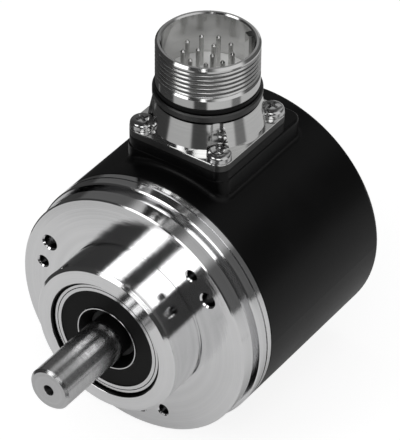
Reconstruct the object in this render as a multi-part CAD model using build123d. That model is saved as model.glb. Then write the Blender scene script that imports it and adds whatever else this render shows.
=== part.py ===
from build123d import *
import os
from math import cos, hypot, radians, sin

# Absolute rotary encoder, clamping flange, radial connector.
# Millimetres. The origin is the centre of the flange face on the shaft axis, the shaft points
# along -Y, the housing lies along +Y and the connector stands along +Z.

# Fits and clearances
running_gap = 0.05          # radial clearance between pieces that turn past each other
slip_gap = 0.05             # clearance round a stud or a pin in its hole
edge_break = 0.3            # small chamfer on turned edges

# Shaft
shaft_diameter = 10.0
shaft_projection = 19.5     # free shaft in front of the boss
shaft_end_chamfer = 0.6
shaft_relief = 0.3          # grinding relief between the free end and the journal
centre_hole_diameter = 2.6
centre_hole_depth = 2.4

# Ball bearings, both alike
journal_diameter = 12.0
bearing_diameter = 28.0
bearing_width = 8.0
bearing_edge = 0.5
ball_diameter = 4.76
ball_count = 8
race_land = 2.0             # radial height of each ring beside its groove
cage_thickness = 1.4
cage_margin = 0.6           # cage beside each ball
seal_thickness = 0.6
seal_inset = 0.25
seal_rebate = 0.4           # step on the inner ring under the seal lip
front_dish_depth = 2.2      # deep lead-in on the front bearing's inner ring
front_dish_width = 1.4
bearing_recess = 0.8        # outer ring face behind the boss face
bearing_spread = 6.0        # between the facing sides of the two bearings

# Mounting flange
boss_diameter = 36.0
boss_length = 10.0
boss_chamfer = 0.7
boss_relief_width = 0.35    # undercut at the boss's foot, along the boss and along the face
boss_relief_depth = 0.3     # into the boss and into the face
disc_diameter = 58.0
rim_width = 3.5
clamp_groove_width = 1.9
clamp_groove_depth = 1.7
ring_width = 2.2
parting_groove_width = 0.4
parting_groove_depth = 0.6
lip_width = 1.3
bearing_land_height = 1.6
hub_wall = 1.9
spigot_length = 5.6
spigot_wall = 2.0
ring_groove_width = 1.9     # groove for the housing seal
ring_groove_depth = 1.2
ring_groove_setback = 1.7

# Fixing holes in the flange face
hole_inset = 5.0            # from the disc's edge, a circle of 48
large_hole_diameter = 3.3   # tapping size of M4
small_hole_diameter = 2.5   # tapping size of M3
large_hole_sink = 0.35
small_hole_sink = 0.3
hole_depth = 7.0
hole_count = 3
large_hole_angle = 35.0     # seen from the front, from +X towards +Z
small_hole_angle = 50.0

# Shaft retention and preload
shaft_clip_thickness = 1.0
shaft_clip_height = 1.3
clip_groove_depth = 0.5
bore_clip_thickness = 1.2
bore_clip_height = 1.7
clip_opening = 5.0
preload_thickness = 0.5
preload_cone = 0.5
preload_width = 1.3
preload_flat = 0.3
hub_end_wall = 1.6

# Code disc
disc_hub_diameter = 14.0
disc_seat_diameter = 20.0
disc_seat_thickness = 1.4
disc_hub_length = 7.2
code_disc_clearance = 0.5   # to the pillars
code_disc_thickness = 1.0
code_disc_bore = 12.0
code_track_inset = 1.7
clamp_ring_diameter = 18.0
clamp_ring_thickness = 1.0
clamp_screw_circle = 14.8
clamp_screw_diameter = 1.4
clamp_screw_head_diameter = 2.2
clamp_screw_head_height = 0.6
clamp_screw_count = 3
clamp_screw_reach = 2.2     # thread in the hub

# Light source
source_width = 10.0
source_reach = 3.2          # inwards from the track
source_margin = 1.3         # to the flange's spigot
source_gap = 0.6            # to the code disc
source_plate_thickness = 3.0
lens_diameter = 3.8
lens_height = 1.5
led_diameter = 2.6
led_height = 1.0
source_screw_diameter = 1.6
source_screw_head_diameter = 2.8
source_screw_head_height = 1.0
source_screw_spacing = 6.2
source_screw_inset = 2.1    # from the holder's outer side
source_screw_grip = 3.0     # foot under the screw heads
source_screw_reach = 3.0    # thread in the flange
optics_turn = 20.0          # from straight below the shaft, away from the face holes

# Boards and pillars
board_clearance = 0.75      # round the boards
board_thickness = 1.6
scan_gap = 0.5              # from the code disc to the scanning reticle
reticle_size = 6.0
reticle_thickness = 0.5
sensor_size = 9.0
sensor_thickness = 1.3
chip_size = 8.0
chip_thickness = 1.4
chip_count = 3
chip_circle_diameter = 26.0
pillar_inset = 4.45         # pillar axis from the cavity wall
pillar_across_flats = 4.0
pillar_thread_diameter = 2.4
pillar_stud_length = 4.0
pillar_angle = 102.5
pillar_count = 3

# Housing
housing_margin = 0.75       # housing and rear rings stand proud of the front disc
housing_wall = 3.0
housing_length = 42.6
housing_end_wall = 3.0
housing_front_chamfer = 0.35
housing_rear_radius = 1.2
housing_screw_head_diameter = 5.0
housing_screw_head_height = 1.5

# Pad under the connector
pad_margin = 0.25           # beside the connector plate
pad_front_margin = 0.05     # in front of it
pad_setback = 6.3           # from the housing's rear
pad_height = 2.25           # above the round housing
pad_corner = 3.0
pad_foot_radius = 1.4
pad_edge_radius = 0.6
seat_height = 1.6           # raised seat between the pad and the gasket
seat_corner = 3.0
lead_hole_diameter = 17.0

# Connector
connector_lead = 2.8        # axis in front of the housing's middle
plate_margin = 0.1          # plate outside the round base
plate_corner = 3.0
plate_thickness = 1.8
gasket_thickness = 0.6
base_foot_diameter = 25.3
base_foot_height = 1.1
base_blend = 1.0            # how far the round base runs on inside the plate
base_top_diameter = 23.0
base_height = 6.8
neck_gap = 0.4
neck_diameter = 21.2
collar_diameter = 23.6
collar_height = 1.8
connector_ring_width = 1.4
connector_ring_floor = 21.0
thread_diameter = 22.4
thread_height = 10.1
thread_core_diameter = 21.4 # between the plain band below and the land at the rim
thread_band = 2.0
thread_land = 0.9
rim_chamfer = 0.5
socket_diameter = 19.8
socket_depth = 10.0
insert_seat_diameter = 16.6
insert_height = 6.4
insert_tail = 4.6
key_width = 1.8
key_height = 0.7
key_angle = 62.0
key_drop = 1.6
pin_diameter = 1.0
pin_circle_diameter = 10.6
inner_pin_circle_diameter = 4.2
outer_pin_count = 9
inner_pin_count = 3
pin_drop = 2.3              # tips below the rim
pin_tail = 1.5
screw_inset = 2.85          # from the plate's sides
screw_diameter = 3.0
screw_head_diameter = 5.4
screw_head_height = 1.9
screw_reach = 7.0
screw_hole_end = 0.5

# Leads inside
ribbon_width = 6.6
ribbon_shift = 1.4          # to the right, clear of the upper pillars
ribbon_thickness = 0.4
ribbon_bend = 3.0
ribbon_straight = 7.0       # below the contacts before the bend
ribbon_sweep = 4.0          # height of the bend
ribbon_plunge = 1.5         # into the header
header_top = 18.0
header_height = 4.0
header_depth = 2.9
header_wall = 1.2           # behind the lead
header_cheek = 1.0          # beside the lead
solder_board_diameter = 16.2
solder_board_thickness = 1.2

# Places along the shaft axis, worked out from the sizes above
shaft_radius = shaft_diameter / 2
journal_radius = journal_diameter / 2
bearing_radius = bearing_diameter / 2
pitch_radius = (journal_radius + bearing_radius) / 2
ball_radius = ball_diameter / 2
boss_face = -boss_length
shaft_tip = boss_face - shaft_projection
front_bearing_start = boss_face + bearing_recess
front_bearing_end = front_bearing_start + bearing_width
rear_bearing_start = front_bearing_end + bearing_spread
rear_bearing_end = rear_bearing_start + bearing_width
groove_start = rim_width
ring_start = groove_start + clamp_groove_width
parting_start = ring_start + ring_width
lip_start = parting_start + parting_groove_width
flange_end = lip_start + lip_width
spigot_end = flange_end + spigot_length
preload_end = rear_bearing_end + preload_thickness + preload_cone
bore_clip_end = preload_end + bore_clip_thickness
hub_end = bore_clip_end + hub_end_wall
shaft_clip_end = rear_bearing_end + shaft_clip_thickness
disc_hub_start = shaft_clip_end + slip_gap
disc_hub_end = disc_hub_start + disc_hub_length
code_disc_end = disc_hub_end + code_disc_thickness
clamp_ring_end = code_disc_end + clamp_ring_thickness
source_end = disc_hub_end - source_gap
source_plate_start = source_end - source_plate_thickness
reticle_start = code_disc_end + scan_gap
sensor_start = reticle_start + reticle_thickness
sensor_board_start = sensor_start + sensor_thickness
sensor_board_end = sensor_board_start + board_thickness
housing_start = flange_end
housing_end = housing_start + housing_length
cavity_end = housing_end - housing_end_wall
connector_offset = housing_start + housing_length / 2 - connector_lead
connector_plate = base_foot_diameter + 2 * plate_margin
screw_spacing = connector_plate - 2 * screw_inset
pad_half_width = connector_plate / 2 + pad_margin
pad_front = connector_offset - connector_plate / 2 - pad_front_margin
pad_rear = housing_end - pad_setback
interface_board_start = (sensor_board_end + cavity_end - board_thickness) / 2
interface_board_end = interface_board_start + board_thickness

# Radii about the shaft axis, worked out from the sizes above
disc_radius = disc_diameter / 2
housing_radius = disc_radius + housing_margin
hole_circle_radius = disc_radius - hole_inset
cavity_radius = housing_radius - housing_wall
spigot_radius = cavity_radius - slip_gap
hub_radius = bearing_radius + hub_wall
board_radius = cavity_radius - board_clearance
pillar_circle_radius = cavity_radius - pillar_inset
pillar_corner_radius = pillar_across_flats / 2 / cos(radians(30))
code_disc_radius = pillar_circle_radius - pillar_corner_radius - code_disc_clearance
code_track_radius = code_disc_radius - code_track_inset
source_inner_radius = code_track_radius - source_reach
source_outer_radius = spigot_radius - spigot_wall - source_margin
source_screw_radius = source_outer_radius - source_screw_inset

# Heights of the connector, worked out from the housing
pad_top = housing_radius + pad_height
seat_top = pad_top + seat_height
plate_start = seat_top + gasket_thickness
plate_top = plate_start + plate_thickness
base_top = plate_top + base_height
collar_start = base_top + neck_gap
collar_end = collar_start + collar_height
thread_start = collar_end + connector_ring_width
connector_rim = thread_start + thread_height
insert_face = connector_rim - socket_depth
insert_seat = insert_face - insert_height
insert_bottom = insert_seat - insert_tail
socket_radius = socket_diameter / 2


def turned(points):
    """A body of revolution about the shaft axis from (radius, y) corners."""
    return revolve(make_face(Polyline(*points, close=True)), Axis.Y)


def upright(points):
    """A body of revolution about the connector axis from (radius, z) corners."""
    outline = Plane.XZ * make_face(Polyline(*points, close=True))
    return Pos(0, connector_offset, 0) * revolve(outline, Axis.Z)


def rod(radius, start, end):
    """A plain cylinder on the shaft axis."""
    return turned([(0, start), (radius, start), (radius, end), (0, end)])


def post(radius, low, high):
    """A plain cylinder on the connector axis."""
    return upright([(0, low), (radius, low), (radius, high), (0, high)])


def torus_about_shaft(major, minor, centre):
    """A ring of round section about the shaft axis."""
    return revolve(Pos(major, centre) * Circle(minor), Axis.Y)


def around_shaft(piece, count, first_angle, radius):
    """Copies of a piece, drawn at the shaft axis, on a circle about it."""
    copies = []
    for index in range(count):
        angle = radians(first_angle + 360 * index / count)
        copies.append(Pos(radius * cos(angle), 0, radius * sin(angle)) * piece)
    return copies


def plate_corners(piece):
    """Copies of a piece, drawn at the connector axis, at the plate's four screws."""
    half = screw_spacing / 2
    return [Pos(x, y, 0) * piece for x in (-half, half) for y in (-half, half)]


def rounded_block(width, depth, corner, low, high):
    """An upright block with rounded corners, centred on the connector axis."""
    outline = RectangleRounded(width, depth, corner)
    return Pos(0, connector_offset, low) * extrude(outline, high - low)


def at_optics(piece):
    """A piece drawn below the shaft, turned to where the optics sit."""
    if isinstance(piece, list):
        return [at_optics(one) for one in piece]
    return Rot(0, optics_turn, 0) * piece


def disc_slab(radius, start, thickness):
    """A round board or plate square to the shaft."""
    return rod(radius, start, start + thickness)


def make_mounting_flange():
    bore_lip = bearing_radius - bearing_land_height
    land_start = front_bearing_end
    land_end = rear_bearing_start - slip_gap * 4
    clip_floor = bearing_radius + clip_groove_depth
    groove_floor = disc_radius - clamp_groove_depth
    parting_floor = housing_radius - parting_groove_depth
    spigot_inner = spigot_radius - spigot_wall
    seal_start = flange_end + ring_groove_setback
    seal_end = seal_start + ring_groove_width
    seal_floor = spigot_radius - ring_groove_depth
    body = turned([
        (bearing_radius, boss_face + edge_break),
        (bearing_radius + edge_break, boss_face),
        (boss_diameter / 2 - boss_chamfer, boss_face),
        (boss_diameter / 2, boss_face + boss_chamfer),
        (boss_diameter / 2, -boss_relief_width),
        (boss_diameter / 2 - boss_relief_depth, -boss_relief_width),
        (boss_diameter / 2 - boss_relief_depth, boss_relief_depth),
        (boss_diameter / 2 + boss_relief_width, boss_relief_depth),
        (boss_diameter / 2 + boss_relief_width, 0),
        (disc_radius - edge_break, 0),
        (disc_radius, edge_break),
        (disc_radius, groove_start),
        (groove_floor, groove_start),
        (groove_floor, ring_start),
        (housing_radius - edge_break, ring_start),
        (housing_radius, ring_start + edge_break),
        (housing_radius, parting_start),
        (parting_floor, parting_start),
        (parting_floor, lip_start),
        (housing_radius, lip_start),
        (housing_radius, flange_end),
        (spigot_radius, flange_end),
        (spigot_radius, seal_start),
        (seal_floor, seal_start),
        (seal_floor, seal_end),
        (spigot_radius, seal_end),
        (spigot_radius, spigot_end - edge_break),
        (spigot_radius - edge_break, spigot_end),
        (spigot_inner, spigot_end),
        (spigot_inner, flange_end),
        (hub_radius, flange_end),
        (hub_radius, hub_end),
        (bearing_radius + edge_break, hub_end),
        (bearing_radius, hub_end - edge_break),
        (bearing_radius, bore_clip_end),
        (clip_floor, bore_clip_end),
        (clip_floor, preload_end),
        (bearing_radius, preload_end),
        (bearing_radius, land_end),
        (bore_lip, land_end),
        (bore_lip, land_start),
        (bearing_radius, land_start),
    ])
    for diameter, sink, angle in (
        (large_hole_diameter, large_hole_sink, large_hole_angle),
        (small_hole_diameter, small_hole_sink, small_hole_angle),
    ):
        radius = diameter / 2
        drill = turned([
            (0, 0), (radius + sink, 0), (radius, sink),
            (radius, hole_depth), (0, hole_depth + radius / 2),
        ])
        body -= around_shaft(drill, hole_count, angle, hole_circle_radius)
    tapped = rod(pillar_thread_diameter / 2 + slip_gap, flange_end - pillar_stud_length - 0.5, flange_end)
    body -= around_shaft(tapped, pillar_count, pillar_angle, pillar_circle_radius)
    source_hole = rod(source_screw_diameter / 2 + slip_gap, flange_end - source_screw_reach - 0.4, flange_end)
    return body - at_optics(source_screw_places(source_hole))


def make_shaft():
    collar_radius = journal_radius + race_land - seal_rebate
    shoulder = front_bearing_start + front_dish_depth + 0.4
    clip_floor = journal_radius - clip_groove_depth
    hole_radius = centre_hole_diameter / 2
    tail_end = clamp_ring_end - edge_break
    return turned([
        (0, shaft_tip + centre_hole_depth),
        (hole_radius * 0.4, shaft_tip + centre_hole_depth * 0.7),
        (hole_radius, shaft_tip),
        (shaft_radius - shaft_end_chamfer, shaft_tip),
        (shaft_radius, shaft_tip + shaft_end_chamfer),
        (shaft_radius, boss_face),
        (shaft_radius - shaft_relief, boss_face),
        (shaft_radius - shaft_relief, shoulder),
        (journal_radius - edge_break, shoulder),
        (journal_radius, shoulder + edge_break),
        (journal_radius, front_bearing_end),
        (collar_radius, front_bearing_end),
        (collar_radius, rear_bearing_start),
        (journal_radius, rear_bearing_start),
        (journal_radius, rear_bearing_end),
        (clip_floor, rear_bearing_end),
        (clip_floor, shaft_clip_end),
        (shaft_radius, shaft_clip_end),
        (shaft_radius, tail_end - edge_break),
        (shaft_radius - edge_break, tail_end),
        (0, tail_end),
    ])


def race_groove(centre):
    return torus_about_shaft(pitch_radius, ball_radius + running_gap, centre)


def make_outer_ring(start):
    end = start + bearing_width
    inner = bearing_radius - race_land
    ring = turned([
        (inner, start), (bearing_radius - bearing_edge, start),
        (bearing_radius, start + bearing_edge), (bearing_radius, end - bearing_edge),
        (bearing_radius - bearing_edge, end), (inner, end),
    ])
    return ring - race_groove(start + bearing_width / 2)


def make_inner_ring(start, dish_depth, dish_width):
    end = start + bearing_width
    outer = journal_radius + race_land
    stepped = outer - seal_rebate
    step = seal_inset + seal_thickness + running_gap * 2
    ring = turned([
        (journal_radius + dish_width, start), (stepped, start),
        (stepped, start + step), (outer, start + step),
        (outer, end - step), (stepped, end - step),
        (stepped, end), (journal_radius + bearing_edge, end),
        (journal_radius, end - bearing_edge), (journal_radius, start + dish_depth),
    ])
    return ring - race_groove(start + bearing_width / 2)


def make_balls(start):
    ball = Pos(0, start + bearing_width / 2, 0) * Sphere(ball_radius)
    return Compound(children=around_shaft(ball, ball_count, 0, pitch_radius))


def make_cage(start):
    centre = start + bearing_width / 2
    half = ball_radius + cage_margin
    ring = turned([
        (pitch_radius - cage_thickness / 2, centre - half),
        (pitch_radius + cage_thickness / 2, centre - half),
        (pitch_radius + cage_thickness / 2, centre + half),
        (pitch_radius - cage_thickness / 2, centre + half),
    ])
    pocket = Rot(0, 90, 0) * Cylinder(ball_radius + running_gap, cage_thickness * 3)
    for index in range(ball_count):
        turn = 360 * index / ball_count
        ring -= Pos(0, centre, 0) * (Rot(0, turn, 0) * (Pos(pitch_radius, 0, 0) * pocket))
    return ring


def make_seals(start):
    inner = journal_radius + race_land - seal_rebate + running_gap * 2
    outer = bearing_radius - race_land
    seals = []
    for low in (start + seal_inset, start + bearing_width - seal_inset - seal_thickness):
        seals.append(rod(outer, low, low + seal_thickness) - rod(inner, low, low + seal_thickness))
    return Compound(children=seals)


def make_shaft_clip():
    inner = journal_radius - clip_groove_depth
    outer = journal_radius + shaft_clip_height
    ring = rod(outer, rear_bearing_end, shaft_clip_end) - rod(inner, rear_bearing_end, shaft_clip_end)
    middle = (rear_bearing_end + shaft_clip_end) / 2
    return ring - Pos(0, middle, outer) * Box(clip_opening, shaft_clip_thickness * 2, outer)


def make_bore_clip():
    outer = bearing_radius + clip_groove_depth
    inner = bearing_radius - bore_clip_height
    ring = rod(outer, preload_end, bore_clip_end) - rod(inner, preload_end, bore_clip_end)
    middle = (preload_end + bore_clip_end) / 2
    return ring - Pos(0, middle, outer) * Box(clip_opening, bore_clip_thickness * 2, outer)


def make_preload_washer():
    outer = bearing_radius - slip_gap * 2
    inner = outer - preload_width
    start = rear_bearing_end
    return turned([
        (inner, start), (inner + preload_flat, start), (outer, start + preload_cone),
        (outer, preload_end), (outer - preload_flat, preload_end), (inner, start + preload_thickness),
    ])


def make_disc_hub():
    seat_start = disc_hub_end - disc_seat_thickness
    pilot_radius = code_disc_bore / 2 - slip_gap
    hub = turned([
        (shaft_radius, disc_hub_start), (disc_hub_diameter / 2, disc_hub_start),
        (disc_hub_diameter / 2, seat_start), (disc_seat_diameter / 2, seat_start),
        (disc_seat_diameter / 2, disc_hub_end), (pilot_radius, disc_hub_end),
        (pilot_radius, code_disc_end), (shaft_radius, code_disc_end),
    ])
    hole = rod(clamp_screw_diameter / 2 + slip_gap, disc_hub_end - clamp_screw_reach - 0.3, disc_hub_end)
    return hub - around_shaft(hole, clamp_screw_count, pillar_angle, clamp_screw_circle / 2)


def make_code_disc():
    disc = disc_slab(code_disc_radius, disc_hub_end, code_disc_thickness)
    disc -= disc_slab(code_disc_bore / 2, disc_hub_end, code_disc_thickness)
    hole = rod(clamp_screw_diameter / 2 + slip_gap, disc_hub_end, code_disc_end)
    return disc - around_shaft(hole, clamp_screw_count, pillar_angle, clamp_screw_circle / 2)


def make_clamp_ring():
    ring = disc_slab(clamp_ring_diameter / 2, code_disc_end, clamp_ring_thickness)
    ring -= disc_slab(shaft_radius + slip_gap, code_disc_end, clamp_ring_thickness)
    hole = rod(clamp_screw_diameter / 2 + slip_gap, code_disc_end, clamp_ring_end)
    return ring - around_shaft(hole, clamp_screw_count, pillar_angle, clamp_screw_circle / 2)


def make_clamp_screws():
    shank = rod(clamp_screw_diameter / 2, disc_hub_end - clamp_screw_reach, clamp_ring_end)
    head = rod(clamp_screw_head_diameter / 2, clamp_ring_end, clamp_ring_end + clamp_screw_head_height)
    screw = shank + head
    return Compound(children=around_shaft(screw, clamp_screw_count, pillar_angle, clamp_screw_circle / 2))


def make_source_holder():
    """The light source stands on the flange below the shaft and reaches in over the hub."""
    foot_inner = hub_radius + slip_gap * 4
    foot = Pos(0, (flange_end + source_end) / 2, -(foot_inner + source_outer_radius) / 2) * Box(
        source_width, source_end - flange_end, source_outer_radius - foot_inner)
    reach_middle = (source_inner_radius + source_outer_radius) / 2
    reach = Pos(0, (source_plate_start + source_end) / 2, -reach_middle) * Box(
        source_width, source_plate_thickness, source_outer_radius - source_inner_radius)
    pocket = rod(lens_diameter / 2, source_end - lens_height - led_height, source_end)
    holder = foot + reach - Pos(0, 0, -code_track_radius) * pocket
    seat = flange_end + source_screw_grip
    hole = rod(source_screw_diameter / 2 + slip_gap * 2, flange_end, seat)
    hole += rod(source_screw_head_diameter / 2 + slip_gap * 2, seat, source_end)
    return at_optics(holder - source_screw_places(hole))


def source_screw_places(piece):
    half = source_screw_spacing / 2
    return [Pos(x, 0, -source_screw_radius) * piece for x in (-half, half)]


def make_source_screws():
    seat = flange_end + source_screw_grip
    screw = rod(source_screw_diameter / 2, flange_end - source_screw_reach, seat)
    screw += rod(source_screw_head_diameter / 2, seat, seat + source_screw_head_height)
    return Compound(children=at_optics(source_screw_places(screw)))


def make_lens():
    low = source_end - lens_height
    lens = turned([
        (0, low), (lens_diameter / 2, low), (lens_diameter / 2, source_end - lens_height / 3),
        (lens_diameter / 3, source_end - lens_height / 12), (0, source_end),
    ])
    return at_optics(Pos(0, 0, -code_track_radius) * lens)


def make_led():
    top = source_end - lens_height
    return at_optics(Pos(0, 0, -code_track_radius) * rod(led_diameter / 2, top - led_height, top))


def make_board(start):
    board = disc_slab(board_radius, start, board_thickness)
    hole = rod(pillar_thread_diameter / 2 + slip_gap * 2, start, start + board_thickness)
    return board - around_shaft(hole, pillar_count, pillar_angle, pillar_circle_radius)


def make_reticle():
    plate = Box(reticle_size, reticle_thickness, reticle_size)
    return at_optics(Pos(0, reticle_start + reticle_thickness / 2, -code_track_radius) * plate)


def make_sensor():
    chip = Box(sensor_size, sensor_thickness, sensor_size)
    return at_optics(Pos(0, sensor_start + sensor_thickness / 2, -code_track_radius) * chip)


def make_interface_chips():
    chip = Pos(0, interface_board_end + chip_thickness / 2, 0) * Box(chip_size, chip_thickness, chip_size)
    return Compound(children=around_shaft(chip, chip_count, -pillar_angle, chip_circle_diameter / 2))


def make_pillars(start, end, board_in_front):
    """Hexagonal pillars, each with a stud in front and a tapped hole behind."""
    stud_start = start - pillar_stud_length
    if board_in_front:
        stud_start -= board_thickness
    body = Plane.XZ * RegularPolygon(pillar_across_flats / 2, 6, major_radius=False)
    body = Pos(0, end, 0) * extrude(body, end - start)
    stud = rod(pillar_thread_diameter / 2, stud_start, start)
    hole_floor = end - pillar_stud_length - 0.5
    hole = rod(pillar_thread_diameter / 2 + slip_gap, hole_floor, end)
    pillar = body - hole + stud
    return Compound(children=around_shaft(pillar, pillar_count, pillar_angle, pillar_circle_radius))


def make_housing_seal():
    floor = spigot_radius - ring_groove_depth
    start = flange_end + ring_groove_setback + slip_gap
    end = start + ring_groove_width - 2 * slip_gap
    nip = edge_break
    return turned([
        (floor + nip, start), (cavity_radius - nip, start), (cavity_radius, start + nip),
        (cavity_radius, end - nip), (cavity_radius - nip, end), (floor + nip, end),
        (floor, end - nip), (floor, start + nip),
    ])


def make_housing_shell():
    """A cast cup with a pad for the connector on top."""
    inner_corner = 1.5
    shell = turned([
        (0, housing_start), (housing_radius - housing_front_chamfer, housing_start),
        (housing_radius, housing_start + housing_front_chamfer),
        (housing_radius, housing_end), (0, housing_end),
    ])
    rear_edge = shell.edges().filter_by(GeomType.CIRCLE).sort_by(Axis.Y)[-1]
    shell = fillet(rear_edge, housing_rear_radius)
    depth = pad_rear - pad_front
    outline = RectangleRounded(2 * pad_half_width, depth, pad_corner)
    pad = Pos(0, (pad_front + pad_rear) / 2, 0) * extrude(outline, pad_top)
    pad = fillet(pad.faces().sort_by(Axis.Z)[-1].edges(), pad_edge_radius)
    shell = shell + pad
    foot = [edge for edge in shell.edges() if is_pad_foot(edge)]
    shell = fillet(foot, pad_foot_radius)
    shell += rounded_block(connector_plate, connector_plate, seat_corner, pad_top - 1, seat_top)
    cavity = turned([
        (0, housing_start), (cavity_radius, housing_start), (cavity_radius, cavity_end - inner_corner),
        (cavity_radius - inner_corner, cavity_end), (0, cavity_end),
    ])
    shell -= cavity
    shell -= post(lead_hole_diameter / 2, 0, seat_top)
    tapped_floor = plate_top - screw_reach - screw_hole_end
    shell -= plate_corners(post(screw_diameter / 2 + slip_gap, tapped_floor, seat_top))
    return shell - around_shaft(housing_screw_bore(), pillar_count, pillar_angle, pillar_circle_radius)


def is_pad_foot(edge):
    """True for the edges where the pad's walls meet the round housing."""
    centre = edge.center()
    box = edge.bounding_box()
    on_housing = abs(hypot(edge.position_at(0.5).X, edge.position_at(0.5).Z) - housing_radius) < 0.01
    inside_front = box.min.Y > pad_front - 0.01
    inside_rear = box.max.Y < pad_rear + 0.01
    return on_housing and inside_front and inside_rear and centre.Z > 0


def housing_screw_bore():
    shank = pillar_thread_diameter / 2 + slip_gap * 2
    head = housing_screw_head_diameter / 2 + slip_gap
    cone_start = housing_end - housing_screw_head_height - slip_gap
    return turned([
        (0, cavity_end), (shank, cavity_end), (shank, cone_start),
        (head, housing_end), (0, housing_end),
    ])


def make_housing_screws():
    shank = pillar_thread_diameter / 2
    cone_start = housing_end - housing_screw_head_height
    screw = turned([
        (0, cavity_end - pillar_stud_length), (shank, cavity_end - pillar_stud_length),
        (shank, cone_start), (housing_screw_head_diameter / 2, housing_end - slip_gap),
        (0, housing_end - slip_gap),
    ])
    return Compound(children=around_shaft(screw, pillar_count, pillar_angle, pillar_circle_radius))


def make_gasket():
    sheet = rounded_block(connector_plate, connector_plate, plate_corner, seat_top, plate_start)
    sheet -= post(lead_hole_diameter / 2, seat_top, plate_start)
    return sheet - plate_corners(post(screw_diameter / 2 + slip_gap * 2, seat_top, plate_start))


def make_connector_shell():
    """The square plate, the round base, the collar and the threaded barrel in one turning."""
    plate = rounded_block(connector_plate, connector_plate, plate_corner, plate_start, plate_top)
    bore = insert_seat_diameter / 2 + slip_gap
    core_step = (thread_diameter - thread_core_diameter) / 2
    barrel = upright([
        (bore, plate_start),
        (base_foot_diameter / 2 - base_blend, plate_start),
        (base_foot_diameter / 2 - base_blend, plate_top),
        (base_foot_diameter / 2, plate_top),
        (base_foot_diameter / 2, plate_top + base_foot_height),
        (base_top_diameter / 2, base_top),
        (neck_diameter / 2, base_top),
        (neck_diameter / 2, collar_start),
        (collar_diameter / 2 - edge_break, collar_start),
        (collar_diameter / 2, collar_start + edge_break),
        (collar_diameter / 2, collar_end - edge_break),
        (collar_diameter / 2 - edge_break, collar_end),
        (connector_ring_floor / 2, collar_end),
        (connector_ring_floor / 2, thread_start),
        (thread_diameter / 2, thread_start),
        (thread_diameter / 2, thread_start + thread_band),
        (thread_core_diameter / 2, thread_start + thread_band + core_step),
        (thread_core_diameter / 2, connector_rim - thread_land - core_step),
        (thread_diameter / 2, connector_rim - thread_land),
        (thread_diameter / 2, connector_rim - rim_chamfer),
        (thread_diameter / 2 - rim_chamfer, connector_rim),
        (socket_radius + edge_break, connector_rim),
        (socket_radius, connector_rim - edge_break),
        (socket_radius, insert_seat),
        (bore, insert_seat),
    ])
    plate -= post(base_foot_diameter / 2 - 2 * base_blend, plate_start, plate_top)
    shell = plate + barrel
    pocket = post(screw_head_diameter / 2 + slip_gap * 3, plate_top, base_top)
    shell -= plate_corners(pocket)
    shell -= plate_corners(post(screw_diameter / 2 + slip_gap * 2, plate_start, plate_top))
    return shell + make_coding_key()


def make_coding_key():
    """The rib that sets the plug's turn, inside the socket."""
    low = insert_face
    high = connector_rim - key_drop
    rib = Pos(socket_radius, 0, (low + high) / 2) * Box(2 * key_height, key_width, high - low)
    return Pos(0, connector_offset, 0) * (Rot(0, 0, key_angle) * (rib & socket_wall_probe()))


def socket_wall_probe():
    wall = (thread_core_diameter / 2 + socket_radius) / 2
    return Pos(0, 0, insert_face) * extrude(Circle(wall), socket_depth)


def make_connector_ring():
    outer = (thread_diameter + 0.2) / 2
    floor = connector_ring_floor / 2
    nip = edge_break
    return upright([
        (floor, collar_end), (outer - nip, collar_end), (outer, collar_end + nip),
        (outer, thread_start - nip), (outer - nip, thread_start), (floor, thread_start),
    ])


def pin_places():
    """Centres of the contacts about the connector axis."""
    spots = []
    first = 180 / outer_pin_count
    for index in range(outer_pin_count):
        angle = radians(first + 360 * index / outer_pin_count)
        spots.append((pin_circle_diameter / 2 * cos(angle), pin_circle_diameter / 2 * sin(angle)))
    for index in range(inner_pin_count):
        angle = radians(90 + 360 * index / inner_pin_count)
        radius = inner_pin_circle_diameter / 2
        spots.append((radius * cos(angle), radius * sin(angle)))
    return spots


def make_insert():
    body = post(socket_radius - slip_gap, insert_seat, insert_face)
    body += post(insert_seat_diameter / 2, insert_bottom, insert_seat)
    hole = post(pin_diameter / 2, insert_bottom, insert_face)
    return body - [Pos(x, y, 0) * hole for x, y in pin_places()]


def make_contact_pins():
    radius = pin_diameter / 2
    tip = connector_rim - pin_drop
    pin = upright([
        (0, insert_bottom - pin_tail), (radius, insert_bottom - pin_tail),
        (radius, tip - radius), (radius * 0.4, tip), (0, tip),
    ])
    return Compound(children=[Pos(x, y, 0) * pin for x, y in pin_places()])


def make_solder_board():
    """The small board that the contacts are soldered to."""
    top = insert_bottom
    board = post(solder_board_diameter / 2, top - solder_board_thickness, top)
    hole = post(pin_diameter / 2, top - solder_board_thickness, top)
    return board - [Pos(x, y, 0) * hole for x, y in pin_places()]


def make_connector_screws():
    head_low = plate_top
    crown = screw_head_height * 0.35
    radius = screw_head_diameter / 2
    screw = upright([
        (0, plate_top - screw_reach), (screw_diameter / 2, plate_top - screw_reach),
        (screw_diameter / 2, head_low), (radius, head_low),
        (radius, head_low + screw_head_height - crown), (radius * 0.62, head_low + screw_head_height),
        (0, head_low + screw_head_height),
    ])
    return Compound(children=plate_corners(screw))


def make_header():
    """The header on the front of the interface board, open upwards for the flat lead."""
    body = Pos(ribbon_shift, interface_board_start - header_depth / 2, header_top - header_height / 2) * Box(
        ribbon_width + 2 * header_cheek, header_depth, header_height)
    slot = Pos(ribbon_shift, header_lead_line(), header_top - ribbon_plunge / 2) * Box(
        ribbon_width, ribbon_thickness, ribbon_plunge)
    return body - slot


def header_lead_line():
    """How far behind the flange face the flat lead enters the header."""
    return interface_board_start - header_wall


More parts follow.
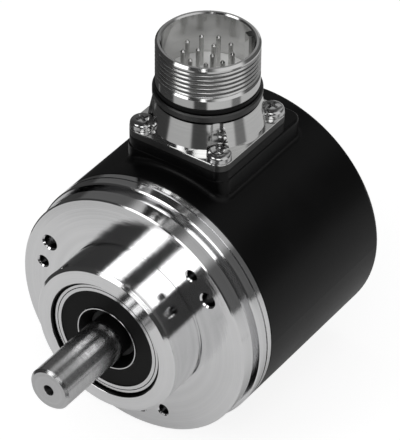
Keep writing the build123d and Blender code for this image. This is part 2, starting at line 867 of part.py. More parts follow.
def make_ribbon():
    """The flat lead from the contacts down into the header."""
    top = insert_bottom - solder_board_thickness
    start = connector_offset + pin_circle_diameter / 2 + pin_diameter
    bend_top = top - ribbon_straight
    route = FilletPolyline(
        (start, top),
        (start, bend_top),
        (header_lead_line(), bend_top - ribbon_sweep),
        (header_lead_line(), header_top - ribbon_plunge),
        radius=ribbon_bend,
    )
    strip = Plane.YZ * trace(route, line_width=ribbon_thickness)
    return Pos(ribbon_shift - ribbon_width / 2, 0, 0) * extrude(strip, ribbon_width)


def write(name, piece):
    export_step(piece, f"parts/{name}.step")


def main():
    os.makedirs("parts", exist_ok=True)
    write("mounting_flange", make_mounting_flange())
    write("shaft", make_shaft())
    write("shaft_retaining_ring", make_shaft_clip())
    for name, start, dish_depth, dish_width in (
        ("front_bearing", front_bearing_start, front_dish_depth, front_dish_width),
        ("rear_bearing", rear_bearing_start, bearing_edge, bearing_edge),
    ):
        write(f"{name}_outer_ring", make_outer_ring(start))
        write(f"{name}_inner_ring", make_inner_ring(start, dish_depth, dish_width))
        write(f"{name}_balls", make_balls(start))
        write(f"{name}_cage", make_cage(start))
        write(f"{name}_seals", make_seals(start))
    write("preload_washer", make_preload_washer())
    write("bore_retaining_ring", make_bore_clip())
    write("disc_hub", make_disc_hub())
    write("code_disc", make_code_disc())
    write("disc_clamp_ring", make_clamp_ring())
    write("disc_clamp_screws", make_clamp_screws())
    write("light_source_holder", make_source_holder())
    write("light_source_lens", make_lens())
    write("light_source_led", make_led())
    write("light_source_screws", make_source_screws())
    write("scanning_reticle", make_reticle())
    write("sensor_chip", make_sensor())
    write("sensor_board", make_board(sensor_board_start))
    write("interface_board", make_board(interface_board_start))
    write("interface_chips", make_interface_chips())
    write("front_pillars", make_pillars(flange_end, sensor_board_start, False))
    write("middle_pillars", make_pillars(sensor_board_end, interface_board_start, True))
    write("rear_pillars", make_pillars(interface_board_end, cavity_end, True))
    write("housing_seal_ring", make_housing_seal())
    write("housing_shell", make_housing_shell())
    write("housing_screws", make_housing_screws())
    write("connector_gasket", make_gasket())
    write("connector_shell", make_connector_shell())
    write("connector_seal_ring", make_connector_ring())
    write("connector_insert", make_insert())
    write("contact_pins", make_contact_pins())
    write("solder_board", make_solder_board())
    write("connector_screws", make_connector_screws())
    write("ribbon_header", make_header())
    write("ribbon_lead", make_ribbon())


main()
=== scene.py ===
import random
from math import cos, hypot, pi, radians, sin

import bmesh
import bpy
from bpy.props import FloatProperty, FloatVectorProperty, IntProperty, PointerProperty
from mathutils import Matrix, Vector


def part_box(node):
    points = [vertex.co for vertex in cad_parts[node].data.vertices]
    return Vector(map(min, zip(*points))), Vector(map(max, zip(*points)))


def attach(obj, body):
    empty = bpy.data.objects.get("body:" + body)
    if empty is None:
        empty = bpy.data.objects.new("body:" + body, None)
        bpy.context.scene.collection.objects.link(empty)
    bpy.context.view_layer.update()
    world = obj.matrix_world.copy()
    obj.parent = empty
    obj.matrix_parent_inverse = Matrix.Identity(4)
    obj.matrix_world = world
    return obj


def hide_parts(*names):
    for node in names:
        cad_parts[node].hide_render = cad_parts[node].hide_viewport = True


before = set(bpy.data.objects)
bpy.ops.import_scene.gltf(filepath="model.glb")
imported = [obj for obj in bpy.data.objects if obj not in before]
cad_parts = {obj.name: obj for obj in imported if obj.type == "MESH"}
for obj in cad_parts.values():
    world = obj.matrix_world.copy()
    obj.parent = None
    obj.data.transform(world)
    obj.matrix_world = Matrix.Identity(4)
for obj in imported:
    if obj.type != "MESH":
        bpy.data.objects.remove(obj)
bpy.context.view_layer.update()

bl_info = {
    "name": "Rotary encoder finish",
    "version": (1, 0, 0),
    "blender": (4, 5, 0),
    "location": "3D View > Sidebar > Encoder",
    "description": "Finishes, thread, screws and studio for an absolute rotary encoder",
    "category": "Object",
}

MM = 0.001

# The connector, with the measures that the part's source gives it
CONNECTOR_AXIS = Vector((0, 27.8, 0)) * MM
CONNECTOR_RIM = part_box("connector_shell")[1].z
COLLAR = (CONNECTOR_RIM - 13.75 * MM, CONNECTOR_RIM - 11.45 * MM)
SCREW_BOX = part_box("connector_screws")
SCREW_HEAD_HEIGHT = 1.9 * MM
PLATE_TOP = SCREW_BOX[1].z - SCREW_HEAD_HEIGHT
PLATE_EDGE = 0.25 * MM

# The screws in the rear of the housing: how many, their circle, and the first one's place in degrees
REAR_SCREWS = 3
REAR_SCREW_CIRCLE = 22.3 * MM
REAR_SCREW_ANGLE = 102.5

# Where painted shade goes and the finish turns rougher, in millimetres: distances from the shaft axis, and
# places behind the flange face
LATHE_CENTRE = 1.25
SHOULDER = (-9.8, -5.9)
LEAD_IN = 7.35
RING_LINE = (12.75, 12.95)
RING_EDGE = 13.5
BEARING_BORE = 14.25
BORE_MOUTH = -9
# The thread's roots inside this distance get painted shade
THREAD_ROOT_SHADE = 10.95     # distance from the connector axis

# Tracks of the code disc in millimetres, and the share of a track that its lines fill
DISC_TRACKS = 9
TRACK_WIDTH = 0.62
TRACK_FILL = 0.8
DISC_MARGIN = 0.6

# One flank of the thread from foot to crest: share of the depth, and half width as a share of the pitch
THREAD_FLANK = ((0.0, 0.49), (0.1, 0.42), (0.82, 0.13), (0.96, 0.08), (1.0, 0.03))
THREAD_FOOT = 0.06 * MM     # how deep its foot is buried in the barrel
THREAD_FADE = 0.3           # turns over which it rises at its ends

# Softboxes: name, setting, degrees about the shaft axis, share towards the front, distance, width and
# height in metres, and whether metal mirrors them
SOFTBOXES = (
    ("key_softbox", "key", 116, -0.646, 0.9, (0.36, 0.40), True),
    ("side_softbox", "side", 61, -0.646, 0.9, (0.44, 0.36), True),
    ("overhead_fill", "fill", 90, -0.2, 1.1, (1.0, 1.0), False),
)

# Dark cards on the table: from and to in degrees about the connector axis, and how dark each is
CARDS = ((-131, -84, 0.25), (-84, -56, 0.95), (-4, 18, 0.7), (-180, -131, 0.97), (120, 180, 0.97))
CARD_SOFTNESS = 3
CARD_START = (94, 99)       # their inner edge in millimetres from the connector axis

# Lights far behind the object: from and to in degrees about the shaft axis, and their level
BACK_LIGHTS = ((103, 129, 0.38), (44, 76, 0.34))
BACK_LIGHT_SOFTNESS = 6

# Levels of the surroundings, where 1 is white
ROOM_FRONT, ROOM_BACK = 0.045, 0.11
WINDOW = 0.75
EVEN_LIGHT = 0.3

# The table top: its radius in metres, then its shades to the camera and to mirrored and scattered rays
TABLE_RADIUS = 0.9
FLOOR_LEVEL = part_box("housing_shell")[0].z
TABLE_GAP = 0.02 * MM
CAMERA_SHADE, CAMERA_GLOW = 0.25, 0.87
PAPER_SHADE, PAPER_GLOW = 0.75, 0.12
CARD_SHADE = 0.05


class Term:
    """One output of a node. Sums, products, quotients and comparisons of terms add Math nodes."""

    def __init__(self, graph, node, output):
        self.graph = graph
        self.node = node
        self.socket = node.outputs[output]

    def __getitem__(self, output):
        return Term(self.graph, self.node, output)

    def __add__(self, other):
        return self.graph.math("ADD", self, other)

    def __sub__(self, other):
        return self.graph.math("SUBTRACT", self, other)

    def __rsub__(self, other):
        return self.graph.math("SUBTRACT", other, self)

    def __mul__(self, other):
        return self.graph.math("MULTIPLY", self, other)

    def __truediv__(self, other):
        return self.graph.math("DIVIDE", self, other)

    def __gt__(self, other):
        return self.graph.math("GREATER_THAN", self, other)

    def __lt__(self, other):
        return self.graph.math("LESS_THAN", self, other)

    __radd__ = __add__
    __rmul__ = __mul__


class Graph:
    """The node tree of one finish."""

    def __init__(self, owner):
        owner.use_nodes = True
        self.tree = owner.node_tree
        self.tree.nodes.clear()

    def node(self, kind, settings=None, sockets=None, output=0):
        """A node with its settings made first, then the values or links of its sockets."""
        made = self.tree.nodes.new(kind)
        for name, value in (settings or {}).items():
            setattr(made, name, value)
        for name, value in (sockets or {}).items():
            if isinstance(value, Term):
                self.tree.links.new(value.socket, made.inputs[name])
            else:
                made.inputs[name].default_value = value
        return Term(self, made, output) if made.outputs else None

    def math(self, operation, first, second=0.0):
        return self.node("ShaderNodeMath", {"operation": operation}, {0: first, 1: second})

    def clamp(self, value, low, high, start=0.0, end=1.0):
        """The value carried smoothly from low...high to start...end."""
        limits = {"Value": value, "From Min": low, "From Max": high, "To Min": start, "To Max": end}
        return self.node("ShaderNodeMapRange", {"interpolation_type": "SMOOTHSTEP"}, limits)

    def band(self, value, start, end, soft):
        """One between start and end, falling to nothing over a soft edge."""
        rise = self.clamp(value, start - soft, start + soft)
        fall = self.clamp(value, end - soft, end + soft, start=1.0, end=0.0)
        return rise * fall

    def length(self, first, second):
        """The distance that two parts at a right angle make."""
        return self.math("SQRT", first * first + second * second)

    def blend(self, factor, first, second):
        """A colour between two colours."""
        return self.node("ShaderNodeMix", {"data_type": "RGBA"}, {0: factor, 6: first, 7: second}, 2)

    def place(self):
        """The place on the object in millimetres: a vector and its three parts."""
        vector = self.node("ShaderNodeTexCoord", output="Object")
        scaled = self.node("ShaderNodeVectorMath", {"operation": "SCALE"}, {0: vector, "Scale": 1 / MM})
        parts = self.node("ShaderNodeSeparateXYZ", sockets={0: scaled})
        return scaled, parts["X"], parts["Y"], parts["Z"]

    def noise(self, vector, scale, detail, roughness=0.5):
        """Cloudy or grainy variation. The scale counts its features in a millimetre."""
        return self.node("ShaderNodeTexNoise", {"noise_dimensions": "3D"},
                         {"Vector": vector, "Scale": scale, "Detail": detail, "Roughness": roughness})

    def grooves(self, along, scale, detail, roughness=0.6):
        """Variation in one direction only, as a cutting tool leaves it."""
        return self.node("ShaderNodeTexNoise", {"noise_dimensions": "1D"},
                         {"W": along, "Scale": scale, "Detail": detail, "Roughness": roughness})

    def bump(self, height, depth):
        """Small relief whose depth is in millimetres."""
        return self.node("ShaderNodeBump", sockets={"Height": height, "Distance": depth * MM})

    def surface(self, sockets):
        """The one shader of a finish, joined to its output."""
        self.finish(self.node("ShaderNodeBsdfPrincipled", sockets=sockets))

    def finish(self, shader):
        self.node("ShaderNodeOutputMaterial", sockets={"Surface": shader})


def toned(colour, factor):
    """A colour made darker or lighter."""
    return tuple(part * factor for part in colour)


def rgba(colour, factor=1.0):
    return (*toned(colour, factor), 1.0)


def grey(level):
    return rgba((level, level, level))


def new_finish(name):
    material = bpy.data.materials.new(name)
    return material, Graph(material)


def about_shaft(graph):
    """How far a place is from the shaft axis and how far behind the flange face, in millimetres."""
    x, y, z = graph.place()[1:]
    return graph.length(x, z), y


def about_connector(graph):
    """How far a place is from the connector axis and how high it is, in millimetres."""
    x, y, z = graph.place()[1:]
    return graph.length(x, y - CONNECTOR_AXIS.y / MM), z


def shaft_path(graph):
    """How far the cutting tool has gone over a body turned about the shaft axis."""
    radius, y = about_shaft(graph)
    return radius + y


def connector_path(graph):
    """How far the cutting tool has gone over a body turned about the connector axis."""
    radius, z = about_connector(graph)
    return radius + z


def within(value, low, high):
    """One between two limits and nothing outside them."""
    return (value > low) * (value < high)


def painted_shade_shaft(graph):
    """Painted shade: the lathe centre in the shaft's end and the shoulder inside the bearing's lead-in, which
    are painted dark.
    """
    radius, y = about_shaft(graph)
    return (radius < LATHE_CENTRE) + within(y, *SHOULDER)


def painted_shade_ring(graph):
    """Painted shade on a bearing's rings: the lead-in of the inner ring, and the edge of the outer ring and
    the line on its face, which are painted dark.
    """
    radius = about_shaft(graph)[0]
    return (radius < LEAD_IN) + (radius > RING_EDGE) + within(radius, *RING_LINE)


def painted_shade_bore(graph):
    """Painted shade on the wall of the bearing's bore in front of the outer ring."""
    radius, y = about_shaft(graph)
    return (radius < BEARING_BORE) * (y < BORE_MOUTH)


def painted_shade_connector(graph):
    """Painted shade: the sides of the connector plate below its top edge, the collar and the gap under it,
    which are painted dark.
    """
    z = graph.place()[3]
    low, high = COLLAR
    return (z < (PLATE_TOP - PLATE_EDGE) / MM) + within(z, low / MM, high / MM)


def painted_shade_thread(graph):
    """Painted shade in the thread's roots: the part of the thread nearest the barrel is painted dark."""
    return about_connector(graph)[0] < THREAD_ROOT_SHADE


def turned_metal(name, colour, roughness, path, groove_depth, groove_scale, painted_shade_part, painted_shade_level):
    """Bright metal with the fine rings that a cutting tool leaves, a little haze from handling, and a part
    with painted shade: its colour is darkened and its surface made rougher."""
    handling, dull_roughness = 0.06, 0.3
    material, graph = new_finish(name)
    vector = graph.place()[0]
    along = path(graph)
    fine = graph.grooves(along, groove_scale, detail=3)
    broad = graph.grooves(along, groove_scale * 0.12, detail=1)
    haze = graph.noise(vector, scale=0.12, detail=3)
    shade = graph.clamp(fine * 0.5 + broad * 0.3 + haze * 0.2, low=0.3, high=0.7)
    bright = graph.blend(shade, rgba(colour, 0.93), rgba(colour, 1.04))
    # Painted shade: where the mask marks, the colour is darkened to the painted shade level and the surface
    # made rougher
    painted_dark = painted_shade_part(graph)
    polish = roughness + (haze - 0.5) * handling + (fine - 0.5) * handling
    graph.surface({
        "Base Color": graph.blend(painted_dark, bright, rgba(colour, painted_shade_level)),
        "Metallic": 1.0,
        "Roughness": polish + painted_dark * dull_roughness,
        "Normal": graph.bump(fine + broad * 1.5, groove_depth),
    })
    return material


def plain_metal(name, colour, roughness, grain_scale=3.0, grain_depth=0.004, handling=0.12):
    """Plated, ground or blackened metal with a fine even grain."""
    material, graph = new_finish(name)
    vector = graph.place()[0]
    grain = graph.noise(vector, grain_scale, detail=4, roughness=0.6)
    cloud = graph.noise(vector, scale=0.35, detail=2)
    shade = graph.clamp(cloud, low=0.35, high=0.65)
    graph.surface({
        "Base Color": graph.blend(shade, rgba(colour, 0.9), rgba(colour, 1.05)),
        "Metallic": 1.0,
        "Roughness": roughness + (cloud - 0.5) * handling + (grain - 0.5) * handling,
        "Normal": graph.bump(grain, grain_depth),
    })
    return material


def moulded(name, colour, roughness, grain_scale=2.5, grain_depth=0.01, specular=0.5):
    """Moulded plastic, rubber or resin with a soft skin grain."""
    material, graph = new_finish(name)
    vector = graph.place()[0]
    grain = graph.noise(vector, grain_scale, detail=3)
    cloud = graph.noise(vector, scale=0.2, detail=2)
    shade = graph.clamp(cloud, low=0.3, high=0.7)
    graph.surface({
        "Base Color": graph.blend(shade, rgba(colour, 0.85), rgba(colour, 1.1)),
        "Roughness": roughness + (grain - 0.5) * 0.12 + (cloud - 0.5) * 0.1,
        "Specular IOR Level": specular,
        "Normal": graph.bump(grain, grain_depth),
    })
    return material


def coated_black(name, colour, roughness):
    """Satin black coating on a cast and turned cup: fine orange peel, turning lines and a few paler rubs."""
    material, graph = new_finish(name)
    vector = graph.place()[0]
    peel = graph.noise(vector, scale=1.6, detail=3, roughness=0.55)
    cloud = graph.noise(vector, scale=0.09, detail=3)
    lines = graph.grooves(shaft_path(graph), scale=2.0, detail=2)
    rubs = graph.clamp(cloud, low=0.4, high=0.75)
    graph.surface({
        "Base Color": graph.blend(rubs, rgba(colour), rgba(colour, 1.6)),
        "Roughness": roughness + (cloud - 0.5) * 0.1 + (peel - 0.5) * 0.08,
        "Specular IOR Level": 0.16,
        "Normal": graph.bump(peel * 0.8 + lines * 0.3, depth=0.01),
    })
    return material


def circuit_board(name, colour, track_colour):
    """Solder resist over copper tracks that run square to each other."""
    material, graph = new_finish(name)
    vector = graph.place()[0]
    cells = graph.node("ShaderNodeTexVoronoi", {"distance": "CHEBYCHEV", "feature": "F1"},
                       {"Vector": vector, "Scale": 0.45, "Randomness": 0.75}, "Distance")
    rings = graph.math("SINE", cells * 26)
    tracks = graph.clamp(rings, low=0.55, high=0.8)
    speck = graph.noise(vector, scale=2, detail=3)
    graph.surface({
        "Base Color": graph.blend(tracks, rgba(colour), rgba(track_colour)),
        "Roughness": 0.32 + (speck - 0.5) * 0.15,
        "Normal": graph.bump(tracks + speck * 0.1, depth=0.03),
    })
    return material


def clear_glass(name, tint):
    """Clear glass with a little dust."""
    material, graph = new_finish(name)
    dust = graph.noise(graph.place()[0], scale=1.2, detail=4)
    graph.surface({
        "Base Color": rgba(tint),
        "Roughness": graph.clamp(dust, low=0.45, high=0.8, start=0.02, end=0.12),
        "Transmission Weight": 1.0,
        "IOR": 1.5,
    })
    return material


def coded_glass(name, tint, chrome):
    """Glass disc with the ring tracks of a Gray code in thin dark chrome."""
    material, graph = new_finish(name)
    x, y, z = graph.place()[1:]
    radius = graph.length(x, z)
    turn = graph.math("ARCTAN2", z, x) / (2 * pi) + 0.5
    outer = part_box("code_disc")[1].x / MM - DISC_MARGIN
    mask = 0.0
    for track in range(DISC_TRACKS):
        top = outer - track * TRACK_WIDTH
        cycles = 2 ** (DISC_TRACKS - track)
        phase = graph.math("FRACT", turn * cycles + 0.25)
        mask = mask + (phase > 0.5) * within(radius, top - TRACK_WIDTH * TRACK_FILL, top)
    glass = graph.node("ShaderNodeBsdfPrincipled", sockets={
        "Base Color": rgba(tint), "Roughness": 0.04, "Transmission Weight": 1.0, "IOR": 1.5})
    metal = graph.node("ShaderNodeBsdfPrincipled", sockets={
        "Base Color": rgba(chrome), "Roughness": 0.22, "Metallic": 1.0})
    graph.finish(graph.node("ShaderNodeMixShader", sockets={0: mask, 1: glass, 2: metal}))
    return material


def dress(finish, *nodes):
    """Gives CAD nodes a finish through their own material slots."""
    for name in nodes:
        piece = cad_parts[name]
        if not piece.material_slots:
            piece.data.materials.append(finish)
        for slot in piece.material_slots:
            slot.material = finish


def loop_of(shape, points):
    return [shape.verts.new(point) for point in points]


def join_loops(shape, loops):
    """Faces between each loop of corners and the next one."""
    for first, second in zip(loops, loops[1:]):
        for index in range(len(first)):
            after = (index + 1) % len(first)
            shape.faces.new((first[index], first[after], second[after], second[index]))


def mesh_from(name, shape, finish):
    """A mesh with one finish from a bmesh, which is used up."""
    mesh = bpy.data.meshes.new(name)
    shape.to_mesh(mesh)
    shape.free()
    mesh.materials.append(finish)
    return mesh


def mesh_piece(name, shape, finish, sharp_angle, replaced=()):
    """A new piece on the stator, with the finish it is given, smooth but for the edges
    where two faces meet at more than the sharp angle."""
    bmesh.ops.recalc_face_normals(shape, faces=shape.faces)
    piece = bpy.data.objects.new(name, mesh_from(name, shape, finish))
    bpy.context.scene.collection.objects.link(piece)
    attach(piece, "stator")
    if replaced:
        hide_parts(*replaced)
    piece.data.shade_smooth()
    piece.data.set_sharp_from_angle(angle=radians(sharp_angle))


class EncoderFinishes(bpy.types.PropertyGroup):
    """Colours and roughness of the finishes."""
    aluminium: FloatVectorProperty(
        name="Aluminium", description="Turned flange", subtype="COLOR",
        default=(0.80, 0.80, 0.805), min=0, max=1)
    aluminium_roughness: FloatProperty(
        name="Aluminium roughness", description="Turned flange", default=0.085, min=0, max=1)
    steel: FloatVectorProperty(
        name="Steel", description="Shaft and bearing rings", subtype="COLOR",
        default=(0.70, 0.70, 0.705), min=0, max=1)
    nickel: FloatVectorProperty(
        name="Nickel", description="Connector shell and its thread", subtype="COLOR",
        default=(0.66, 0.66, 0.655), min=0, max=1)
    black: FloatVectorProperty(
        name="Black coating", description="Housing", subtype="COLOR",
        default=(0.002, 0.002, 0.0021), min=0, max=1)
    rubber: FloatVectorProperty(
        name="Rubber", description="Seals", subtype="COLOR",
        default=(0.004, 0.004, 0.004), min=0, max=1)
    insulator: FloatVectorProperty(
        name="Insulator", description="Contact insert", subtype="COLOR",
        default=(0.86, 0.86, 0.85), min=0, max=1)
    board: FloatVectorProperty(
        name="Circuit board", description="Solder resist", subtype="COLOR",
        default=(0.01, 0.07, 0.03), min=0, max=1)


class EncoderThread(bpy.types.PropertyGroup):
    """Sizes of the connector's outer thread."""
    pitch: FloatProperty(name="Pitch", description="Rise of one turn", subtype="DISTANCE", default=1.08 * MM)
    crest_radius: FloatProperty(
        name="Crest radius", description="Outside of the thread", subtype="DISTANCE", default=11.2 * MM)
    depth: FloatProperty(name="Depth", description="Crest to root", subtype="DISTANCE", default=0.5 * MM)
    start: FloatProperty(
        name="Start", description="Lower end below the rim", subtype="DISTANCE", default=8.0 * MM)
    end: FloatProperty(
        name="End", description="Upper end below the rim", subtype="DISTANCE", default=1.1 * MM)
    segments: IntProperty(name="Segments", description="Steps in one turn", default=120, min=24)


class EncoderScrews(bpy.types.PropertyGroup):
    """Sizes of the connector's pan-head screws and of the housing's countersunk screws."""
    head_radius: FloatProperty(
        name="Pan head", description="Radius of the connector screws' heads", subtype="DISTANCE",
        default=2.7 * MM)
    shank_radius: FloatProperty(
        name="Pan shank", description="Radius of the connector screws' shanks", subtype="DISTANCE",
        default=1.5 * MM)
    arm_half_width: FloatProperty(
        name="Cross arm width", description="Half the width of an arm of the cross", subtype="DISTANCE",
        default=0.36 * MM)
    arm_length: FloatProperty(
        name="Cross arm length", description="Reach of the cross from the screw's axis", subtype="DISTANCE",
        default=1.35 * MM)
    recess_depth: FloatProperty(
        name="Cross depth", description="Depth of the cross recess", subtype="DISTANCE", default=1.15 * MM)
    rear_head_radius: FloatProperty(
        name="Countersunk head", description="Radius of the housing screws' heads", subtype="DISTANCE",
        default=2.5 * MM)
    rear_head_height: FloatProperty(
        name="Countersink", description="Height of the housing screws' cones", subtype="DISTANCE",
        default=1.5 * MM)
    rear_shank_radius: FloatProperty(
        name="Countersunk shank", description="Radius of the housing screws' shanks", subtype="DISTANCE",
        default=1.2 * MM)
    socket_radius: FloatProperty(
        name="Socket", description="From the axis to a flat of the hexagon", subtype="DISTANCE",
        default=1.2 * MM)


class EncoderStudio(bpy.types.PropertyGroup):
    """Camera and lamps."""
    lens: FloatProperty(name="Lens", description="Focal length", unit="CAMERA", default=261.8)
    distance: FloatProperty(
        name="Distance", description="Camera to flange", subtype="DISTANCE", default=0.68576)
    azimuth: FloatProperty(
        name="Azimuth", description="Camera round the object", subtype="ANGLE", default=radians(34.669))
    elevation: FloatProperty(
        name="Elevation", description="Camera above the floor", subtype="ANGLE", default=radians(38.2))
    roll: FloatProperty(
        name="Roll", description="Camera about its own axis", subtype="ANGLE", default=radians(0.521))
    aim_right: FloatProperty(
        name="Aim right", description="Right of the flange's centre", subtype="DISTANCE", default=14.637 * MM)
    aim_up: FloatProperty(
        name="Aim up", description="Above the flange's centre", subtype="DISTANCE", default=20.646 * MM)
    key: FloatProperty(name="Key lamp", description="Radiance of the main softbox", default=2.3)
    side: FloatProperty(name="Side lamp", description="Radiance of the second softbox", default=2.3)
    fill: FloatProperty(name="Fill", description="Radiance of the overhead fill", default=1.0)


class DressFlange(bpy.types.Operator):
    """Finish the turned flange with its pilot boss, the disc hub and the clamp ring"""
    bl_idname = "encoder.dress_flange"
    bl_label = "Flange and hub"

    def execute(self, context):
        look = context.scene.encoder_finishes
        # The bore wall in front of the front bearing gets painted shade
        flange = turned_metal("turned_aluminium", look.aluminium, look.aluminium_roughness, shaft_path,
                              groove_depth=0.006, groove_scale=6.0, painted_shade_part=painted_shade_bore, painted_shade_level=0.03)
        dress(flange, "mounting_flange", "disc_hub", "disc_clamp_ring")
        return {"FINISHED"}


class DressShaft(bpy.types.Operator):
    """Finish the shaft, the bearings and their clips"""
    bl_idname = "encoder.dress_shaft"
    bl_label = "Shaft and bearings"

    def execute(self, context):
        steel = context.scene.encoder_finishes.steel
        # Painted shade in the shaft's lathe centre and on its shoulder
        ground = turned_metal("ground_steel", toned(steel, 0.82), 0.2, shaft_path,
                              groove_depth=0.012, groove_scale=9.0, painted_shade_part=painted_shade_shaft, painted_shade_level=0.08)
        # Painted shade on the bearing rings' lead-in, edge and face line
        ring = turned_metal("bearing_ring_steel", toned(steel, 1.06), 0.16, shaft_path,
                            groove_depth=0.003, groove_scale=8.0, painted_shade_part=painted_shade_ring, painted_shade_level=0.03)
        balls = plain_metal("polished_balls", toned(steel, 1.15), 0.05,
                            grain_scale=2.0, grain_depth=0.0005, handling=0.03)
        spring = plain_metal("oiled_spring_steel", (0.24, 0.24, 0.25), 0.34)
        cage = moulded("cage_plastic", (0.62, 0.57, 0.45), 0.45)
        dress(ground, "shaft")
        for end in ("front", "rear"):
            dress(ring, end + "_bearing_outer_ring", end + "_bearing_inner_ring")
            dress(balls, end + "_bearing_balls")
            dress(cage, end + "_bearing_cage")
        dress(spring, "preload_washer", "bore_retaining_ring", "shaft_retaining_ring")
        return {"FINISHED"}


class DressSeals(bpy.types.Operator):
    """Finish the rubber seals, the gasket and the O-rings"""
    bl_idname = "encoder.dress_seals"
    bl_label = "Seals"

    def execute(self, context):
        rubber = moulded("black_rubber", context.scene.encoder_finishes.rubber, 0.5,
                         grain_scale=2.0, grain_depth=0.008, specular=0.16)
        dress(rubber, "front_bearing_seals", "rear_bearing_seals", "housing_seal_ring",
              "connector_gasket", "connector_seal_ring")
        return {"FINISHED"}


class DressHousing(bpy.types.Operator):
    """Finish the black housing"""
    bl_idname = "encoder.dress_housing"
    bl_label = "Housing"

    def execute(self, context):
        look = context.scene.encoder_finishes
        dress(coated_black("satin_black_coating", look.black, 0.34), "housing_shell")
        return {"FINISHED"}


class DressConnector(bpy.types.Operator):
    """Finish the connector shell, its insert and the contacts"""
    bl_idname = "encoder.dress_connector"
    bl_label = "Connector"

    def execute(self, context):
        look = context.scene.encoder_finishes
        # Painted shade on the plate's sides, the collar and the gap under it
        nickel = turned_metal("nickel_plate", look.nickel, 0.11, connector_path,
                              groove_depth=0.005, groove_scale=3.0, painted_shade_part=painted_shade_connector, painted_shade_level=0.13)
        contacts = plain_metal("plated_contacts", (0.72, 0.72, 0.71), 0.14,
                               grain_scale=2.0, grain_depth=0.002, handling=0.05)
        dress(nickel, "connector_shell")
        dress(moulded("insulator_plastic", look.insulator, 0.3), "connector_insert")
        dress(contacts, "contact_pins")
        return {"FINISHED"}


class DressElectronics(bpy.types.Operator):
    """Finish the boards, the optics, the pillars and the lead"""
    bl_idname = "encoder.dress_electronics"
    bl_label = "Electronics and optics"

    def execute(self, context):
        board = context.scene.encoder_finishes.board
        epoxy = moulded("black_epoxy", (0.012, 0.012, 0.012), 0.42, grain_scale=3.5, grain_depth=0.012)
        brass = plain_metal("plated_brass", (0.72, 0.68, 0.56), 0.2)
        zinc = plain_metal("zinc_steel", (0.62, 0.62, 0.62), 0.3)
        disc = coded_glass("coded_glass", (0.93, 0.96, 0.96), chrome=(0.16, 0.16, 0.17))
        dress(circuit_board("solder_resist", board, toned(board, 1.9)),
              "sensor_board", "interface_board", "solder_board")
        dress(epoxy, "interface_chips", "sensor_chip")
        dress(moulded("black_holder", (0.018, 0.018, 0.018), 0.5), "light_source_holder")
        dress(moulded("header_plastic", (0.7, 0.68, 0.6), 0.4), "ribbon_header")
        dress(moulded("grey_lead", (0.42, 0.42, 0.43), 0.45), "ribbon_lead")
        dress(moulded("led_resin", (0.6, 0.55, 0.55), 0.15), "light_source_led")
        dress(clear_glass("lens_glass", (0.95, 0.97, 0.97)), "light_source_lens")
        dress(clear_glass("reticle_glass", (0.75, 0.8, 0.8)), "scanning_reticle")
        dress(disc, "code_disc")
        dress(brass, "front_pillars", "middle_pillars", "rear_pillars")
        dress(zinc, "disc_clamp_screws", "light_source_screws")
        return {"FINISHED"}


class MakeThread(bpy.types.Operator):
    """Wind the connector's outer thread round its barrel"""
    bl_idname = "encoder.make_thread"
    bl_label = "Connector thread"

    def execute(self, context):
        sizes = context.scene.encoder_thread
        turns = (sizes.start - sizes.end) / sizes.pitch
        shape = bmesh.new()
        loops = []
        for step in range(int(turns * sizes.segments) + 1):
            turn = step / sizes.segments
            rise = min(1.0, min(turn, turns - turn) / THREAD_FADE)
            loops.append(loop_of(shape, self.section(sizes, turn, rise)))
        join_loops(shape, loops)
        shape.faces.new(loops[0])
        shape.faces.new(loops[-1])
        # Painted shade in the thread's roots
        finish = turned_metal("nickel_thread", context.scene.encoder_finishes.nickel, 0.16, connector_path,
                              groove_depth=0.003, groove_scale=4.0, painted_shade_part=painted_shade_thread, painted_shade_level=0.22)
        mesh_piece("connector_thread", shape, finish, sharp_angle=70)
        return {"FINISHED"}

    @staticmethod
    def section(sizes, turn, rise):
        """The thread's profile at one step: a rounded ridge with a narrow crest on a buried foot."""
        root = sizes.crest_radius - sizes.depth
        depth = sizes.depth * max(rise, 0.02)
        lower = [(root + depth * share, -sizes.pitch * width) for share, width in THREAD_FLANK]
        upper = [(radius, -level) for radius, level in reversed(lower)]
        foot = root - THREAD_FOOT
        profile = [(foot, lower[0][1]), *lower, *upper, (foot, upper[-1][1])]
        angle = 2 * pi * turn
        middle = CONNECTOR_RIM - sizes.start + turn * sizes.pitch
        return [CONNECTOR_AXIS + Vector((radius * cos(angle), radius * sin(angle), middle + level))
                for radius, level in profile]


